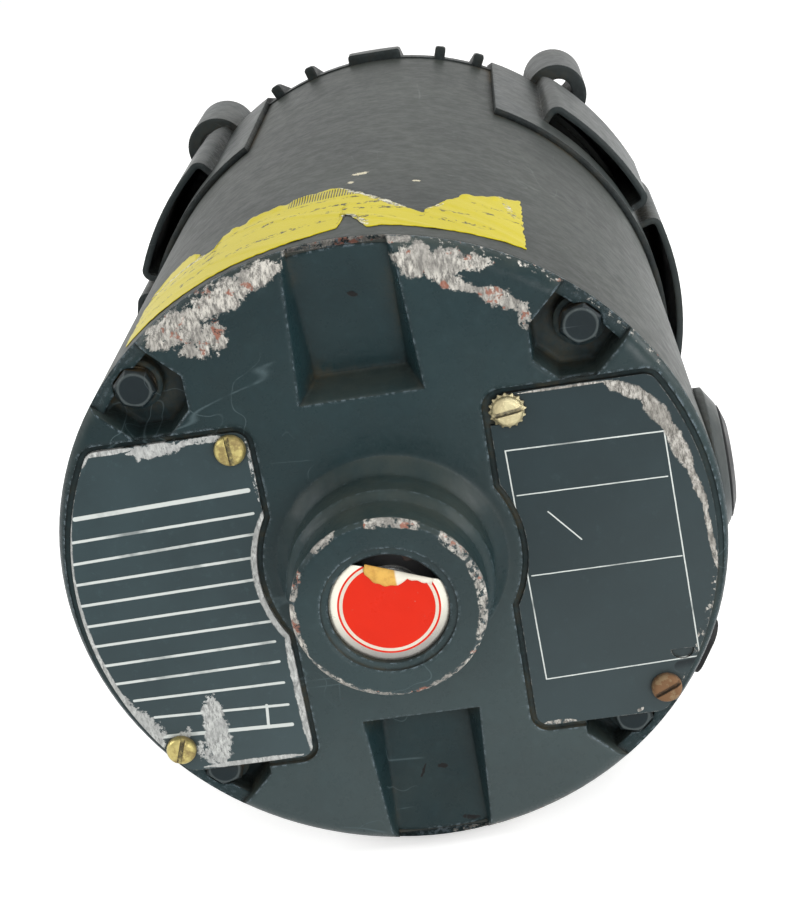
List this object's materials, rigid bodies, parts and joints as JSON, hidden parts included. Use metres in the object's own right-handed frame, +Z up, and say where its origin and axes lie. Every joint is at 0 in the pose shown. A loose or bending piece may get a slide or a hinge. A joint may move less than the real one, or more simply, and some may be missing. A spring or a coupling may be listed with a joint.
{
  "type": "three-phase electric motor",
  "caption": "Footless three-phase induction motor with a C-face flange, vent hoods and a keyed shaft turning in two ball bearings.",
  "frame": {"origin": "on the shaft axis in the plane of the C-face that the driven machine's adapter rests on", "axes": "+Y along the shaft towards its free end, +Z up with the motor level, +X to the right seen from the rear end (the side with the conduit entry)"},
  "size_m": [0.1568, 0.2924, 0.1474],
  "materials": {
    "paint_drive_end": "satin blue-grey enamel on a die casting, dusty",
    "paint_shell": "satin blue-grey enamel on rolled steel, dusty and scuffed",
    "paint_rear_end": "satin blue-grey enamel on a die casting, chipped along the edges",
    "bolt_steel": "dull steel with thin overspray",
    "plate_metal": "grey-printed aluminium with bare silver lines, scraped at a corner",
    "cover_metal": "grey enamel on steel sheet, outer edge worn bare",
    "brass_screw": "yellow plated steel, dirty",
    "zinc_screw": "plated steel, the lower one rusty",
    "disc_metal": "printed foil disc, plain red with a silver rim",
    "black_plastic": "black plastic, dusty",
    "black_rubber": "black rubber",
    "yellow_vinyl": "yellow vinyl, torn and dirty",
    "brown_phenolic": "brown laminate board",
    "brass": "plain brass",
    "zinc": "zinc plated",
    "green_screw": "green lacquered steel",
    "wire_insulation": "braided insulation",
    "lamination_steel": "stacked electrical steel, cut edges",
    "varnished_copper": "varnished enamelled copper, laced",
    "slot_paper": "pressed paper board",
    "spring_steel": "dark spring steel",
    "shaft_steel": "ground steel",
    "key_steel": "drawn steel",
    "cast_aluminium": "pressure-cast aluminium, turned outside",
    "bearing_steel": "ground bearing steel",
    "ball_steel": "polished bearing steel",
    "cage_steel": "pressed steel sheet"
  },
  "bodies": {
    "motor_frame": {"drive_end_shield": "paint_drive_end", "shell": "paint_shell", "rear_end_shield": "paint_rear_end", "through_bolts": "bolt_steel", "through_bolt_washers": "bolt_steel", "nameplate": "plate_metal", "nameplate_screws": "brass_screw", "terminal_cover": "cover_metal", "terminal_cover_screws": "zinc_screw", "hub_disc": "disc_metal", "conduit_boss": "paint_shell", "conduit_plug": "black_plastic", "lead_grommet": "black_rubber", "yellow_label": "yellow_vinyl", "terminal_board": "brown_phenolic", "terminal_studs": "brass", "terminal_nuts": "brass", "board_screws": "zinc", "ground_screw": "green_screw", "lead_wires": "wire_insulation", "stator_core": "lamination_steel", "stator_winding": "varnished_copper", "slot_wedges": "slot_paper", "rear_bearing_outer_race": "bearing_steel", "rear_bearing_shields": "cage_steel", "front_bearing_outer_race": "bearing_steel", "front_bearing_shields": "cage_steel", "preload_spring": "spring_steel", "front_bearing_retainer": "zinc", "retainer_screws": "zinc"},
    "rotor": {"shaft": "shaft_steel", "shaft_key": "key_steel", "rotor_core": "lamination_steel", "rotor_cage": "cast_aluminium", "rear_bearing_inner_race": "bearing_steel", "front_bearing_inner_race": "bearing_steel", "snap_ring": "spring_steel", "shaft_slinger": "black_rubber"},
    "rear_ball_set": {"rear_bearing_balls": "ball_steel", "rear_bearing_cage": "cage_steel"},
    "front_ball_set": {"front_bearing_balls": "ball_steel", "front_bearing_cage": "cage_steel"}
  },
  "joints": [
    {"name": "rotor_spin", "type": "hinge", "parent": "motor_frame", "child": "rotor", "pos_m": [0, 0, 0], "axis": [0, 1, 0], "continuous": true},
    {"name": "rear_ball_spin", "type": "hinge", "parent": "motor_frame", "child": "rear_ball_set", "pos_m": [0, -0.2291, 0], "axis": [0, 1, 0], "continuous": true},
    {"name": "front_ball_spin", "type": "hinge", "parent": "motor_frame", "child": "front_ball_set", "pos_m": [0, -0.022, 0], "axis": [0, 1, 0], "continuous": true}
  ],
  "couplings": [
    {"joint": "rear_ball_spin", "follows": "rotor_spin", "ratio": 0.3808},
    {"joint": "front_ball_spin", "follows": "rotor_spin", "ratio": 0.3818}
  ]
}
